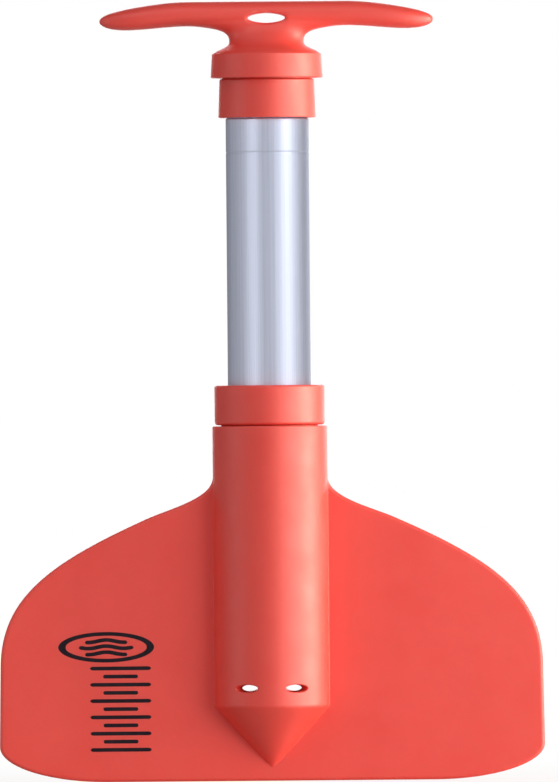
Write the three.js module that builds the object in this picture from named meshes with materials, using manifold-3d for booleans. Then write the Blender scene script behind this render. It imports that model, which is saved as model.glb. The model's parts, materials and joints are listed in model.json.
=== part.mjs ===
// Telescoping hand paddle with a spade-shaped blade, a two-stage round shaft and a T grip.
//
// Units are millimetres and +Z is up. The origin is on the shaft's axis at the blade's bottom edge,
// the blade lies in the XZ plane and the paddle is shown collapsed. Each telescoping stage slides
// out along +Z and locks when it is twisted: an eccentric stub then pushes a ring against the bore.
import * as THREE from "three";
import { mergeVertices } from "three/addons/utils/BufferGeometryUtils.js";
import Module from "manifold-3d";

const wasm = await Module();
wasm.setup();

// ---------------------------------------------------------------- driving dimensions

const ROUND = 40; // facets on a shaft-sized turned part
const SMALL = 20; // facets on a pin, screw or hole
const PLAY = 0.15; // radial gap between a tube and what slides or is fitted on it
const SEAT = 0.1; // gap left between two faces that are pressed or glued together
const PAST = 1; // how far a cutter runs past the face that it opens

const OUTER = { r: 19.05, wall: 1.5, foot: 61, top: 316.5 }; // 38.1 mm tube that leaves the blade
const INNER = { r: 15.875, wall: 1.5, foot: 98, top: 333 }; // 31.75 mm tube that carries the grip
const CRIMP = { z: 288.5, half: 0.6, outside: 0.35, inside: 0.3 }; // rolled mark under the upper bush

const SOCKET = {
  r: 26.4,
  mouth: 163,
  bore: 22,
  counterbore: 22.4,
  step: 148, // the counterbore's floor, which the lower bush rests on
  coneBase: 34.3,
  coneTip: 5,
  coneWall: 5.4, // measured along the axis
  bluntTip: 5, // radius at which the hollow inside the cone ends
};

const DRAIN = { z: 42.7, halfWidth: 5.6, halfHeight: 1.75, angle: 26.3 }; // oval drain slots

// Half of the blade's outline from its bottom edge up to the socket, as [x, z].
const BLADE = {
  thickness: 3.2,
  edgeChamfer: 0.8,
  corner: { width: 50, height: 16.5, x: 125.2 }, // quarter ellipse
  // Bezier curves: the shoulder turns in above the straight side, and the neck flares to the socket.
  shoulder: [[124.6, 52.3], [124.6, 84.9], [101.8, 100.8], [57.5, 120.5]],
  neck: [[57.5, 120.5], [47.2, 125.2], [SOCKET.r, 129.8], [SOCKET.r, 139.7]],
  curveSteps: 9,
};

const FLOAT = {
  gap: 0.4, // between the tip's foam and the hollow that it fills
  clearOfDrain: 2.4,
  shaftPlug: 1, // gap between the shaft's foam and the plug below it
  shaftSpigot: 5, // and the grip's spigot above it
};

// The collar is glued into the socket's mouth. From the top it holds a lip, a wiper and the bush.
const COLLAR = {
  r: 25.3,
  bottom: 163.5,
  top: 181.7,
  edge: 1.3,
  spigot: 22.3,
  spigotEnd: 150.1,
  lip: 2.8,
  lipPlay: 0.35,
  wiper: 2.6,
  wiperRoom: 0.2,
  groove: 2.15, // depth of the wiper's groove outside the tube
  pocket: 2.25, // depth of the bush's pocket outside the tube
  rib: 1, // the wall between wiper and bush
};

// The cap is fixed on the outer tube's end and holds a wiper and the flange of the upper bush.
const CAP = {
  rTop: 21.75,
  rBottom: 22.4,
  bottom: 304.6,
  top: 322.4,
  edge: 0.9,
  lip: 1.2,
  lipPlay: 0.25,
  groove: 1.9,
  rib: 0.6,
  roof: 318.2, // the ceiling over the end of the tube
  wiperRoom: 0.15,
  dustRim: { outside: 20.6, inside: 19.6, rise: 1.2 }, // stands up inside the grip's skirt and shades the gap
};

const BUSH = { flange: 1.5, aboveCrimp: 0.9 };

const GRIP = {
  top: 358,
  half: 76.7, // half of the grip's length
  halfHeight: 5.6,
  halfDepth: 9.5,
  droop: 3.1, // how far the ends of the grip hang below its middle
  droopFrom: 36,
  stations: [0, 20, 36, 48, 58, 65, 70, 73.5, 75.6, 76.6],
  hole: { z: 350.3, halfWidth: 8.5, halfHeight: 2.3 }, // oval lanyard hole
};

const SKIRT = { bottom: 322.9, top: 334, rBottom: 25.8, rTop: 25.1, wall: 2.6, roof: 331.5 };
const RIB = { count: 6, thickness: 2, bottom: 325.9 }; // webs between the skirt and its hub
const HUB = { r: 19.2, bottom: 323.2 }; // grips the top of the inner tube inside the skirt
const SPIGOT = { bottom: 311, core: 10, roof: 3 }; // goes down inside the inner tube
const FUSE = 0.4; // how far two shapes of one moulding run into each other

// Ovals that the neck flows through, from the skirt up into the grip: [z, half width, half depth].
const NECK = [
  [SKIRT.top - 0.5, SKIRT.rTop, SKIRT.rTop],
  [SKIRT.top, SKIRT.rTop, SKIRT.rTop],
  [335.2, 23.2, 22.9],
  [336.8, 19.6, 18.9],
  [338.4, 17.4, 15.6],
  [340, 17.15, 13.9],
  [342, 17.5, 12.2],
  [343.4, 18.6, 11.2],
  [344.8, 21.2, 10.2],
  [346.2, 26.2, 9.3],
  [348.5, 31, 8.4],
  [353, 27, 6.5],
];

// A twist lock hangs below a tube's foot: flange, eccentric stub, ring, washer and screw.
const ECCENTRIC = 0.55; // the stub's offset from the tube's axis
const LOCK = {
  flange: 2.4, // thickness of the plug's flange
  wall: 3.2, // wall of the plug's open top
  floor: 5, // material left above the cross pin
  ringPlay: 0.6, // gap all round the ring while the lock is open
  ringEnd: 0.4, // gap above and below the ring
  ringEdge: 0.8,
  stubPlay: 0.2,
};
const OUTER_LOCK = {
  tube: OUTER,
  bore: SOCKET.bore,
  flange: 21.3,
  stub: 7,
  stubEnd: 50,
  top: 80, // of the plug inside the tube
  pin: 70, // height of the cross pin
};
const INNER_LOCK = {
  tube: INNER,
  bore: OUTER.r - OUTER.wall,
  flange: 17,
  stub: 6,
  stubEnd: 86,
  top: 122,
  pin: 108,
};
const WASHER = { r: 9, hole: 2.4, thickness: 1.1 };
const SCREW = { r: 2.2, head: 4.2, headHeight: 2.3, edge: 0.9, way: 0.15, slotWidth: 0.9, slotDepth: 1 };
const PIN = { r: 1.95, recess: 0.4 };
const GRIP_SCREW = { z: 328.3, r: 2.1, head: 3.8, seat: HUB.r + 0.3, end: SPIGOT.core + 0.6 };

// ---------------------------------------------------------------- materials

const dull = (color, roughness) => new THREE.MeshStandardMaterial({ color, roughness, metalness: 0 });
const metal = (color, roughness) => new THREE.MeshStandardMaterial({ color, roughness, metalness: 1 });

const ORANGE = dull(0xe85546, 0.45);
const ALUMINIUM = metal(0xc2c7d6, 0.35);
const POLISHED = metal(0xcdd0d8, 0.28);
const STEEL = metal(0xb8babd, 0.3);
const NYLON = dull(0xe9e6dc, 0.5);
const GREY_NYLON = dull(0x55585c, 0.5);
const RUBBER = dull(0x1c1c1e, 0.8);
const FOAM = dull(0xf2efe6, 0.95);

// ---------------------------------------------------------------- solids

// A closed geometry as a manifold-3d solid, without the triangles that collapse at a pole.
function solid(geometry) {
  const bare = new THREE.BufferGeometry();
  bare.setAttribute("position", geometry.getAttribute("position"));
  bare.setIndex(geometry.index);
  const merged = mergeVertices(bare, 1e-3);
  const corners = merged.index.array;
  const kept = [];
  for (let i = 0; i < corners.length; i += 3) {
    const [a, b, c] = corners.subarray(i, i + 3);
    if (a !== b && b !== c && c !== a) kept.push(a, b, c);
  }
  const vertProperties = merged.attributes.position.array;
  return new wasm.Manifold(new wasm.Mesh({ numProp: 3, vertProperties, triVerts: new Uint32Array(kept) }));
}

// A solid back as a flat-shaded geometry.
function geometryOf(made) {
  const { vertProperties, triVerts } = made.getMesh();
  const indexed = new THREE.BufferGeometry();
  indexed.setAttribute("position", new THREE.BufferAttribute(vertProperties, 3));
  indexed.setIndex(new THREE.BufferAttribute(triVerts, 1));
  const flat = indexed.toNonIndexed();
  flat.computeVertexNormals();
  return flat;
}

function part(name, made, material) {
  const mesh = new THREE.Mesh(geometryOf(made), material);
  mesh.name = name;
  return mesh;
}

const union = (first, ...others) => others.reduce((sum, next) => sum.add(next), first);
const cut = (body, ...tools) => tools.reduce((rest, tool) => rest.subtract(tool), body);
const offAxis = (made) => made.translate([ECCENTRIC, 0, 0]);

// A solid turned about Z. The profile's [radius, z] points start and end on the axis, going up.
function turned(profile, facets = ROUND) {
  const points = profile.map(([r, z]) => new THREE.Vector2(r, z));
  return solid(new THREE.LatheGeometry(points, facets).rotateX(Math.PI / 2));
}

// A ring turned about Z. Its [radius, z] points go up the outside and down the inside.
const ring = (profile) => turned([...profile, profile[0]]);

const disc = (r, z0, z1, facets) => turned([[0, z0], [r, z0], [r, z1], [0, z1]], facets);

const pipe = (r0, r1, z0, z1) => ring([[r1, z0], [r1, z1], [r0, z1], [r0, z0]]);

// A bar along Y between y0 and y1, round, or oval when its half width and half height differ.
function barAlongY(y0, y1, z, halfWidth, halfHeight = halfWidth, facets = SMALL) {
  const bar = new THREE.CylinderGeometry(1, 1, y1 - y0, facets);
  return solid(bar.scale(halfWidth, 1, halfHeight).translate(0, (y0 + y1) / 2, z));
}

// Two crossed boxes on the origin, a quarter turn apart about the given axis: a screw's recess.
function crossCutters(size, axis) {
  const arm = solid(new THREE.BoxGeometry(...size));
  return [arm, arm.rotate(axis.map((on) => 90 * on))];
}

// An oval ring of points around a centre, spanned by two half axes.
function oval(count, centre, halfAxisA, halfAxisB) {
  return Array.from({ length: count }, (_, i) => {
    const turn = (i / count) * 2 * Math.PI;
    return centre
      .clone()
      .addScaledVector(halfAxisA, Math.cos(turn))
      .addScaledVector(halfAxisB, Math.sin(turn));
  });
}

// A solid through closed rings of points, each with the same number of points, capped at both ends.
function loft(rings) {
  const count = rings[0].length;
  const last = (rings.length - 1) * count;
  const index = [];
  for (let i = 0; i < last; i += count)
    for (let j = 0; j < count; j++) {
      const a = i + j;
      const b = i + ((j + 1) % count);
      index.push(a, b, b + count, a, b + count, a + count);
    }
  for (let j = 1; j + 1 < count; j++) {
    index.push(0, j + 1, j);
    index.push(last, last + j, last + j + 1);
  }
  const geometry = new THREE.BufferGeometry().setFromPoints(rings.flat());
  geometry.setIndex(index);
  return solid(geometry);
}

// ---------------------------------------------------------------- blade and socket

function bladeOutline() {
  const { corner, shoulder, neck, curveSteps } = BLADE;
  const outline = new THREE.Shape();
  outline.moveTo(0, 0);
  outline.lineTo(corner.x - corner.width, 0);
  outline.absellipse(corner.x - corner.width, corner.height, corner.width, corner.height, -Math.PI / 2, 0);
  outline.lineTo(...shoulder[0]);
  outline.bezierCurveTo(...shoulder.slice(1).flat());
  outline.bezierCurveTo(...neck.slice(1).flat());
  const right = outline.getPoints(curveSteps);
  const left = right.slice(1).map((p) => new THREE.Vector2(-p.x, p.y)).reverse();
  return new THREE.Shape([...right, ...left]);
}

function bladePlate() {
  const { thickness, edgeChamfer } = BLADE;
  const plate = new THREE.ExtrudeGeometry(bladeOutline(), {
    depth: thickness - 2 * edgeChamfer,
    bevelThickness: edgeChamfer,
    bevelSize: edgeChamfer,
    bevelOffset: -edgeChamfer,
    bevelSegments: 1,
  });
  return solid(plate.rotateX(Math.PI / 2).translate(0, thickness / 2 - edgeChamfer, 0));
}

// Oval cutters through the socket's wall, two at the front and two at the back.
function drainCutters() {
  const { angle, halfWidth, halfHeight, z } = DRAIN;
  const cutter = barAlongY(SOCKET.bore / 2, SOCKET.r + PAST, 0, halfWidth, halfHeight);
  return [angle, -angle, 180 - angle, 180 + angle].map((turn) =>
    cutter.rotate([0, 0, turn]).translate([0, 0, z]),
  );
}

const coneSlope = SOCKET.r / (SOCKET.coneBase - SOCKET.coneTip); // radius gained per unit of height
const hollowFloor = SOCKET.coneTip + SOCKET.coneWall + SOCKET.bluntTip / coneSlope; // inside the cone

function blade() {
  const { r, mouth, bore, counterbore, step, coneBase, coneTip, bluntTip } = SOCKET;
  const tube = turned([[0, coneTip], [r, coneBase], [r, mouth], [0, mouth]]);
  const hollow = turned([
    [0, hollowFloor],
    [bluntTip, hollowFloor],
    [bore, hollowFloor + (bore - bluntTip) / coneSlope],
    [bore, step],
    [counterbore, step],
    [counterbore, mouth + PAST],
    [0, mouth + PAST],
  ]);
  return part("blade", cut(union(bladePlate(), tube), hollow, ...drainCutters()), ORANGE);
}

// Closed-cell foam that fills the hollow tip below the drain slots.
function tipFloat() {
  const tip = SOCKET.bluntTip;
  const r = SOCKET.bore - FLOAT.gap;
  const bottom = hollowFloor + FLOAT.gap;
  const shoulder = bottom + (r - tip) / coneSlope;
  const top = DRAIN.z - DRAIN.halfHeight - FLOAT.clearOfDrain;
  return part("tip_float", turned([[0, bottom], [tip, bottom], [r, shoulder], [r, top], [0, top]]), FOAM);
}

const wiperSeat = COLLAR.top - COLLAR.lip - COLLAR.wiper - 2 * COLLAR.wiperRoom;
const pocketRoof = wiperSeat - COLLAR.rib;

function socketCollar() {
  const { r, bottom, top, edge, spigot, spigotEnd } = COLLAR;
  const lip = OUTER.r + COLLAR.lipPlay;
  const groove = OUTER.r + COLLAR.groove;
  const pocket = OUTER.r + COLLAR.pocket;
  const body = ring([
    [spigot, spigotEnd],
    [spigot, bottom],
    [r - edge, bottom],
    [r, bottom + edge],
    [r, top - edge],
    [r - edge, top],
    [lip, top],
    [lip, top - COLLAR.lip],
    [groove, top - COLLAR.lip],
    [groove, wiperSeat],
    [lip, wiperSeat],
    [lip, pocketRoof],
    [pocket, pocketRoof],
    [pocket, spigotEnd],
  ]);
  return part("socket_collar", body, ORANGE);
}

function socketWiper() {
  const bottom = wiperSeat + COLLAR.wiperRoom;
  const outside = OUTER.r + COLLAR.groove - COLLAR.wiperRoom;
  return part("socket_wiper", pipe(OUTER.r + PLAY, outside, bottom, bottom + COLLAR.wiper), RUBBER);
}

function lowerBush() {
  const flange = SOCKET.counterbore - 2 * SEAT;
  const flangeTop = COLLAR.spigotEnd - 2 * SEAT;
  const sleeve = OUTER.r + COLLAR.pocket - 2 * SEAT;
  const body = ring([
    [flange, SOCKET.step + SEAT],
    [flange, flangeTop],
    [sleeve, flangeTop],
    [sleeve, pocketRoof - 2 * SEAT],
    [OUTER.r + PLAY, pocketRoof - 2 * SEAT],
    [OUTER.r + PLAY, SOCKET.step + SEAT],
  ]);
  return part("lower_bush", body, NYLON);
}

// ---------------------------------------------------------------- tubes

function outerTube() {
  const { r, wall, foot, top } = OUTER;
  const { z, half, outside, inside } = CRIMP;
  const body = ring([
    [r, foot],
    [r, z - half],
    [r - outside, z],
    [r, z + half],
    [r, top],
    [r - wall, top],
    [r - wall, z + half],
    [r - wall - inside, z],
    [r - wall, z - half],
    [r - wall, foot],
  ]);
  return part("outer_tube", cut(body, pinWay(OUTER_LOCK)), ALUMINIUM);
}

function innerTube() {
  const { r, wall, foot, top } = INNER;
  const screwWay = barAlongY(0, r + PAST, GRIP_SCREW.z, SCREW.r);
  return part("inner_tube", cut(pipe(r - wall, r, foot, top), pinWay(INNER_LOCK), screwWay), POLISHED);
}

function tubeCollar() {
  const seat = OUTER.r + PLAY;
  const lip = INNER.r + CAP.lipPlay;
  const groove = INNER.r + CAP.groove;
  const body = ring([
    [CAP.rBottom, CAP.bottom],
    [CAP.rTop, CAP.top - CAP.edge],
    [CAP.rTop - CAP.edge, CAP.top],
    [CAP.dustRim.outside, CAP.top],
    [CAP.dustRim.outside, CAP.top + CAP.dustRim.rise],
    [CAP.dustRim.inside, CAP.top + CAP.dustRim.rise],
    [CAP.dustRim.inside, CAP.top],
    [lip, CAP.top],
    [lip, CAP.top - CAP.lip],
    [groove, CAP.top - CAP.lip],
    [groove, CAP.roof + CAP.rib],
    [lip, CAP.roof + CAP.rib],
    [lip, CAP.roof],
    [seat, CAP.roof],
    [seat, CAP.bottom],
  ]);
  return part("tube_collar", body, ORANGE);
}

function tubeWiper() {
  const bottom = CAP.roof + CAP.rib + CAP.wiperRoom;
  const top = CAP.top - CAP.lip - CAP.wiperRoom;
  const outside = INNER.r + CAP.groove - CAP.wiperRoom;
  return part("tube_wiper", pipe(INNER.r + PLAY, outside, bottom, top), RUBBER);
}

function upperBush() {
  const bore = INNER.r + PLAY;
  const sleeve = OUTER.r - OUTER.wall - PLAY;
  const bottom = CRIMP.z + BUSH.aboveCrimp;
  const flangeBottom = OUTER.top + SEAT;
  const body = ring([
    [sleeve, bottom],
    [sleeve, flangeBottom],
    [OUTER.r, flangeBottom],
    [OUTER.r, OUTER.top + BUSH.flange],
    [bore, OUTER.top + BUSH.flange],
    [bore, bottom],
  ]);
  return part("upper_bush", body, NYLON);
}

// Closed-cell foam inside the inner tube, between its plug and the grip's spigot.
function shaftFloat() {
  const r = INNER.r - INNER.wall - 2 * PLAY;
  const bottom = INNER_LOCK.top + FLOAT.shaftPlug;
  return part("shaft_float", disc(r, bottom, SPIGOT.bottom - FLOAT.shaftSpigot), FOAM);
}

// ---------------------------------------------------------------- twist locks

const pinWay = (lock) => barAlongY(-lock.bore - PAST, lock.bore + PAST, lock.pin, PIN.r + PLAY);

// The plug is pinned in a tube's foot. Its flange is the end stop and its stub is the eccentric.
function lockPlug(name, lock) {
  const { tube, flange, top } = lock;
  const flangeTop = tube.foot - SEAT;
  const r = tube.r - tube.wall - PLAY;
  const body = turned([
    [0, flangeTop - LOCK.flange],
    [flange, flangeTop - LOCK.flange],
    [flange, flangeTop],
    [r, flangeTop],
    [r, top],
    [r - LOCK.wall, top],
    [r - LOCK.wall, lock.pin + LOCK.floor],
    [0, lock.pin + LOCK.floor],
  ]);
  const stub = offAxis(disc(lock.stub, lock.stubEnd, flangeTop - LOCK.flange + FUSE));
  const screwWay = offAxis(disc(SCREW.r + SCREW.way, lock.stubEnd - PAST, tube.foot + LOCK.floor, SMALL));
  return part(name, cut(union(body, stub), screwWay, pinWay(lock)), GREY_NYLON);
}

function lockPin(name, lock) {
  const half = lock.tube.r - PIN.recess;
  return part(name, barAlongY(-half, half, lock.pin, PIN.r), STEEL);
}

// The ring is bored off centre, so it sits centred in the bore only while the lock is open.
function lockRing(name, lock) {
  const bottom = lock.stubEnd + LOCK.ringEnd;
  const top = lock.tube.foot - SEAT - LOCK.flange - LOCK.ringEnd;
  const r = lock.bore - LOCK.ringPlay;
  const edge = LOCK.ringEdge;
  const body = turned([
    [0, bottom],
    [r - edge, bottom],
    [r, bottom + edge],
    [r, top - edge],
    [r - edge, top],
    [0, top],
  ]);
  const hole = offAxis(disc(lock.stub + LOCK.stubPlay, bottom - PAST, top + PAST));
  return part(name, cut(body, hole), NYLON);
}

function lockWasher(name, lock) {
  const top = lock.stubEnd - SEAT;
  return part(name, offAxis(pipe(WASHER.hole, WASHER.r, top - WASHER.thickness, top)), STEEL);
}

// Drives up through the washer into the stub, with its cross recess facing down.
function lockScrew(name, lock) {
  const { r, head, headHeight, edge, slotWidth, slotDepth } = SCREW;
  const seat = lock.stubEnd - 2 * SEAT - WASHER.thickness;
  const face = seat - headHeight;
  const tip = lock.tube.foot + LOCK.floor / 2;
  const body = turned(
    [[0, face], [head - edge, face], [head, face + edge], [head, seat], [r, seat], [r, tip], [0, tip]],
    SMALL,
  );
  const cross = crossCutters([head, slotWidth, 2 * slotDepth], [0, 0, 1]);
  const placed = cross.map((arm) => arm.translate([0, 0, face]));
  return part(name, offAxis(cut(body, ...placed)), STEEL);
}

// ---------------------------------------------------------------- T grip

// Oval sections along X whose height and depth close towards both ends.
function gripBar() {
  const { top, half, halfHeight, halfDepth, droop, droopFrom, stations } = GRIP;
  const left = stations.slice(1).reverse().map((x) => -x);
  const rings = [...left, ...stations].map((x) => {
    const reach = Math.abs(x) / half;
    const height = halfHeight * Math.sqrt(1 - reach ** 7.5);
    const depth = halfDepth * Math.sqrt(1 - reach ** 5);
    const z = top - halfHeight - droop * THREE.MathUtils.smoothstep(Math.abs(x), droopFrom, half);
    const centre = new THREE.Vector3(x, 0, z);
    return oval(SMALL, centre, new THREE.Vector3(0, depth, 0), new THREE.Vector3(0, 0, height));
  });
  return loft(rings);
}

function gripNeck() {
  const rings = NECK.map(([z, halfWidth, halfDepth]) => {
    const centre = new THREE.Vector3(0, 0, z);
    return oval(ROUND, centre, new THREE.Vector3(halfWidth, 0, 0), new THREE.Vector3(0, halfDepth, 0));
  });
  return loft(rings);
}

// A cup open downwards, with a ribbed hub inside it for the top of the inner tube.
function gripSkirt() {
  const { bottom, rBottom, rTop, wall, roof } = SKIRT;
  const top = SKIRT.top - FUSE;
  const inside = rTop - wall;
  const cup = turned([
    [0, roof],
    [inside, roof],
    [rBottom - wall, bottom],
    [rBottom, bottom],
    [rTop, top],
    [0, top],
  ]);
  const hub = disc(HUB.r, HUB.bottom, top);
  const ribTop = roof + FUSE;
  const rib = solid(new THREE.BoxGeometry(inside - HUB.r + 4 * FUSE, RIB.thickness, ribTop - RIB.bottom));
  const placed = rib.translate([(inside + HUB.r) / 2, 0, (ribTop + RIB.bottom) / 2]);
  const ribs = Array.from({ length: RIB.count }, (_, i) => placed.rotate([0, 0, (i * 360) / RIB.count]));
  const tubeSeat = disc(INNER.r + PLAY, bottom - PAST, INNER.top + 3 * SEAT);
  const spigot = disc(INNER.r - INNER.wall - PLAY, SPIGOT.bottom, top);
  const core = disc(SPIGOT.core, SPIGOT.bottom - PAST, roof - SPIGOT.roof);
  return cut(union(cut(union(cup, hub, ...ribs), tubeSeat), spigot), core);
}

function tGrip() {
  const { z, halfWidth, halfHeight } = GRIP.hole;
  const lanyardHole = barAlongY(-HUB.r, HUB.r, z, halfWidth, halfHeight, 2 * SMALL);
  const headWay = barAlongY(HUB.r + SEAT, SKIRT.rBottom + PAST, GRIP_SCREW.z, SCREW.head);
  const shankWay = barAlongY(SPIGOT.core - PAST, HUB.r + PAST, GRIP_SCREW.z, SCREW.r + SCREW.way);
  const body = union(gripBar(), gripNeck(), gripSkirt());
  return part("t_grip", cut(body, lanyardHole, headWay, shankWay), ORANGE);
}

// Drives in from the back through the hub and the tube into the spigot, its head inside the skirt.
function gripScrew() {
  const { z, r, head, seat, end } = GRIP_SCREW;
  const face = seat + SCREW.headHeight;
  const body = union(barAlongY(seat, face, z, head), barAlongY(end, seat + FUSE, z, r));
  const cross = crossCutters([head, 2 * SCREW.slotDepth, SCREW.slotWidth], [0, 1, 0]);
  const placed = cross.map((arm) => arm.translate([0, face, z]));
  return part("grip_screw", cut(body, ...placed), STEEL);
}

// ---------------------------------------------------------------- assembly

function group(...members) {
  const made = new THREE.Group();
  made.add(...members);
  return made;
}

const innerStage = group(
  innerTube(),
  lockPlug("inner_plug", INNER_LOCK),
  lockPin("inner_plug_pin", INNER_LOCK),
  lockRing("inner_lock_ring", INNER_LOCK),
  lockWasher("inner_lock_washer", INNER_LOCK),
  lockScrew("inner_lock_screw", INNER_LOCK),
  shaftFloat(),
  tGrip(),
  gripScrew(),
);

const outerStage = group(
  outerTube(),
  lockPlug("outer_plug", OUTER_LOCK),
  lockPin("outer_plug_pin", OUTER_LOCK),
  lockRing("outer_lock_ring", OUTER_LOCK),
  lockWasher("outer_lock_washer", OUTER_LOCK),
  lockScrew("outer_lock_screw", OUTER_LOCK),
  tubeCollar(),
  tubeWiper(),
  upperBush(),
  innerStage,
);

const paddle = group(blade(), tipFloat(), socketCollar(), socketWiper(), lowerBush(), outerStage);

export default paddle;
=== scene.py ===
"""Looks of a telescoping hand paddle: smooth meshes, materials, a studio and a camera around the CAD frame.

Shapes are worked out in millimetres in the frame's own axes: +Z runs along the shaft from the blade to
the grip, +X across the blade, and -Y is the front. Every turned piece takes its place from its CAD node.
"""

import json
import math
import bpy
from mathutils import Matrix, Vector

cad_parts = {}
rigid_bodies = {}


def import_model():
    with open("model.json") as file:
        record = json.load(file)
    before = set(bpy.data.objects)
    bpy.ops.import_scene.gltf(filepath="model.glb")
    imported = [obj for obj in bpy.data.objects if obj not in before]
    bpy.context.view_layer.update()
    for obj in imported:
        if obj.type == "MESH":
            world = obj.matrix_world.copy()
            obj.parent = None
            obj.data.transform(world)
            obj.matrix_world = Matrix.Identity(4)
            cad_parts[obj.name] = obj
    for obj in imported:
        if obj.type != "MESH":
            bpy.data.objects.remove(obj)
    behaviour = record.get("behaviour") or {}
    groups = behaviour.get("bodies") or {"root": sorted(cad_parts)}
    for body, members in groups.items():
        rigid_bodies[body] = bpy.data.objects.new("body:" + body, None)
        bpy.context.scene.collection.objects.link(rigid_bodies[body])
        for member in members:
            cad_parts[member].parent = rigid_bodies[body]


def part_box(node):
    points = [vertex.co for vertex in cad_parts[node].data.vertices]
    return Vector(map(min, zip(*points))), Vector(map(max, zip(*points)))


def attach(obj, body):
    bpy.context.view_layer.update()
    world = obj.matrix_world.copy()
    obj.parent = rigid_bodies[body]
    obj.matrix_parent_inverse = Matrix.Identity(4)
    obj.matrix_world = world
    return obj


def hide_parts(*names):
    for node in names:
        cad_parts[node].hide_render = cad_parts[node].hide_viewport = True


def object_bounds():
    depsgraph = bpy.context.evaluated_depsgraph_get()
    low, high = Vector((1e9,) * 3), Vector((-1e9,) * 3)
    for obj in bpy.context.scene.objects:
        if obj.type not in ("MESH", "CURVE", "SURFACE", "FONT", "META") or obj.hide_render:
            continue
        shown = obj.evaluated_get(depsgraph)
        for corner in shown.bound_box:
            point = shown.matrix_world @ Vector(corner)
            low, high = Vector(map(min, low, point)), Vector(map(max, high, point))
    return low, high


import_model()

from types import SimpleNamespace as Sizes

import bmesh
import bpy
import numpy as np
from mathutils import Matrix, Vector, kdtree

cad_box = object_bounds()

MM = 0.001
FINE = 144  # steps round a shaft-sized turned piece
MEDIUM = 96  # steps round a lock's stub or washer
COARSE = 48  # steps round a pin, screw or hole
ARC = 5  # steps in a rounded edge


# ---- places from the frame


def span(node):
    """A node's half width and centre across X, its ends along Z and its back, in millimetres."""
    low, high = (np.array(corner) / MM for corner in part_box(node))
    half, middle = (high[0] - low[0]) / 2, (high[0] + low[0]) / 2
    return Sizes(r=half, x=middle, bottom=low[2], top=high[2], back=high[1])


BLADE = span("blade")
COLLAR = span("socket_collar")
OUTER = span("outer_tube")
INNER = span("inner_tube")
CAP = span("tube_collar")
GRIP = span("t_grip")


# ---- mesh helpers


def add_object(name, points, faces, merge=0.004):
    """A mesh object from points in millimetres, with doubled points merged and faces turned outwards."""
    mesh = bpy.data.meshes.new(name)
    mesh.from_pydata((np.asarray(points, float) * MM).tolist(), [], faces)
    bm = bmesh.new()
    bm.from_mesh(mesh)
    bmesh.ops.remove_doubles(bm, verts=bm.verts, dist=merge * MM)
    bmesh.ops.recalc_face_normals(bm, faces=bm.faces)
    bm.to_mesh(mesh)
    bm.free()
    made = bpy.data.objects.new(name, mesh)
    bpy.context.scene.collection.objects.link(made)
    return made


def grid_faces(rows, columns, wrap_rows=False):
    """Quads between rows of points, each row a closed ring."""
    faces = []
    for i in range(rows if wrap_rows else rows - 1):
        a, b = i * columns, (i + 1) % rows * columns
        for j in range(columns):
            k = (j + 1) % columns
            faces.append((a + j, a + k, b + k, b + j))
    return faces


def rounded(corners, closed=False, steps=ARC):
    """A polyline through (r, z) corners. A corner given as (r, z, radius) becomes an arc."""
    points = []
    count = len(corners)
    for i, corner in enumerate(corners):
        here = np.array(corner[:2], float)
        radius = corner[2] if len(corner) > 2 else 0
        if not radius or (not closed and i in (0, count - 1)):
            points.append(here)
            continue
        before = np.array(corners[i - 1][:2], float) - here
        after = np.array(corners[(i + 1) % count][:2], float) - here
        u = before / np.linalg.norm(before)
        v = after / np.linalg.norm(after)
        half = math.acos(np.clip(u @ v, -1, 1)) / 2
        bisector = (u + v) / np.linalg.norm(u + v)
        centre = here + bisector * radius / math.sin(half)
        start = here + u * radius / math.tan(half) - centre
        end = here + v * radius / math.tan(half) - centre
        sweep = math.pi - 2 * half
        for k in range(steps + 1):
            t = k / steps * sweep
            points.append(centre + (start * math.sin(sweep - t) + end * math.sin(t)) / math.sin(sweep))
    return points


def lathe(name, corners, closed=False, steps=FINE, x=0.0):
    """A solid turned about the axis at x. Corners go from axis to axis, or round a closed section."""
    outline = np.array(rounded(corners, closed))
    turn = np.arange(steps) * 2 * math.pi / steps
    points = np.empty((len(outline), steps, 3))
    points[..., 0] = x + outline[:, :1] * np.sin(turn)
    points[..., 1] = -outline[:, :1] * np.cos(turn)
    points[..., 2] = outline[:, 1:]
    return add_object(name, points.reshape(-1, 3), grid_faces(len(outline), steps, closed))


def loft(name, rings):
    """A closed solid through rings of points, capped at both ends."""
    rings = np.asarray(rings, float)
    rows, columns = rings.shape[:2]
    caps = [tuple(range(columns))[::-1], tuple(range((rows - 1) * columns, rows * columns))]
    return add_object(name, rings.reshape(-1, 3), grid_faces(rows, columns) + caps)


def bar_along_y(name, y0, y1, z, radius, edge=0.15, steps=COARSE):
    """A round bar along Y with softened ends."""
    turn = np.arange(steps) * 2 * math.pi / steps
    levels = [(y0, radius - edge), (y0 + edge, radius), (y1 - edge, radius), (y1, radius - edge)]
    return loft(name, [[(r * math.cos(t), y, z + r * math.sin(t)) for t in turn] for y, r in levels])


def box(name, centre, size):
    """A block, given its centre and its size."""
    corners = [
        (centre[0] + sx * size[0] / 2, centre[1] + sy * size[1] / 2, centre[2] + sz * size[2] / 2)
        for sz in (-1, 1)
        for sx, sy in ((-1, -1), (1, -1), (1, 1), (-1, 1))
    ]
    return loft(name, np.array(corners).reshape(2, 4, 3))


def combine(target, others, operation="DIFFERENCE"):
    """Cuts the other objects out of target, or joins them to it, and removes them."""
    for other in others:
        modifier = target.modifiers.new("combine", "BOOLEAN")
        modifier.operation = operation
        modifier.solver = "EXACT"
        modifier.object = other
    bpy.context.view_layer.update()
    evaluated = target.evaluated_get(bpy.context.evaluated_depsgraph_get())
    target.data = bpy.data.meshes.new_from_object(evaluated)
    target.modifiers.clear()
    for other in others:
        bpy.data.objects.remove(other)
    return target


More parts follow.
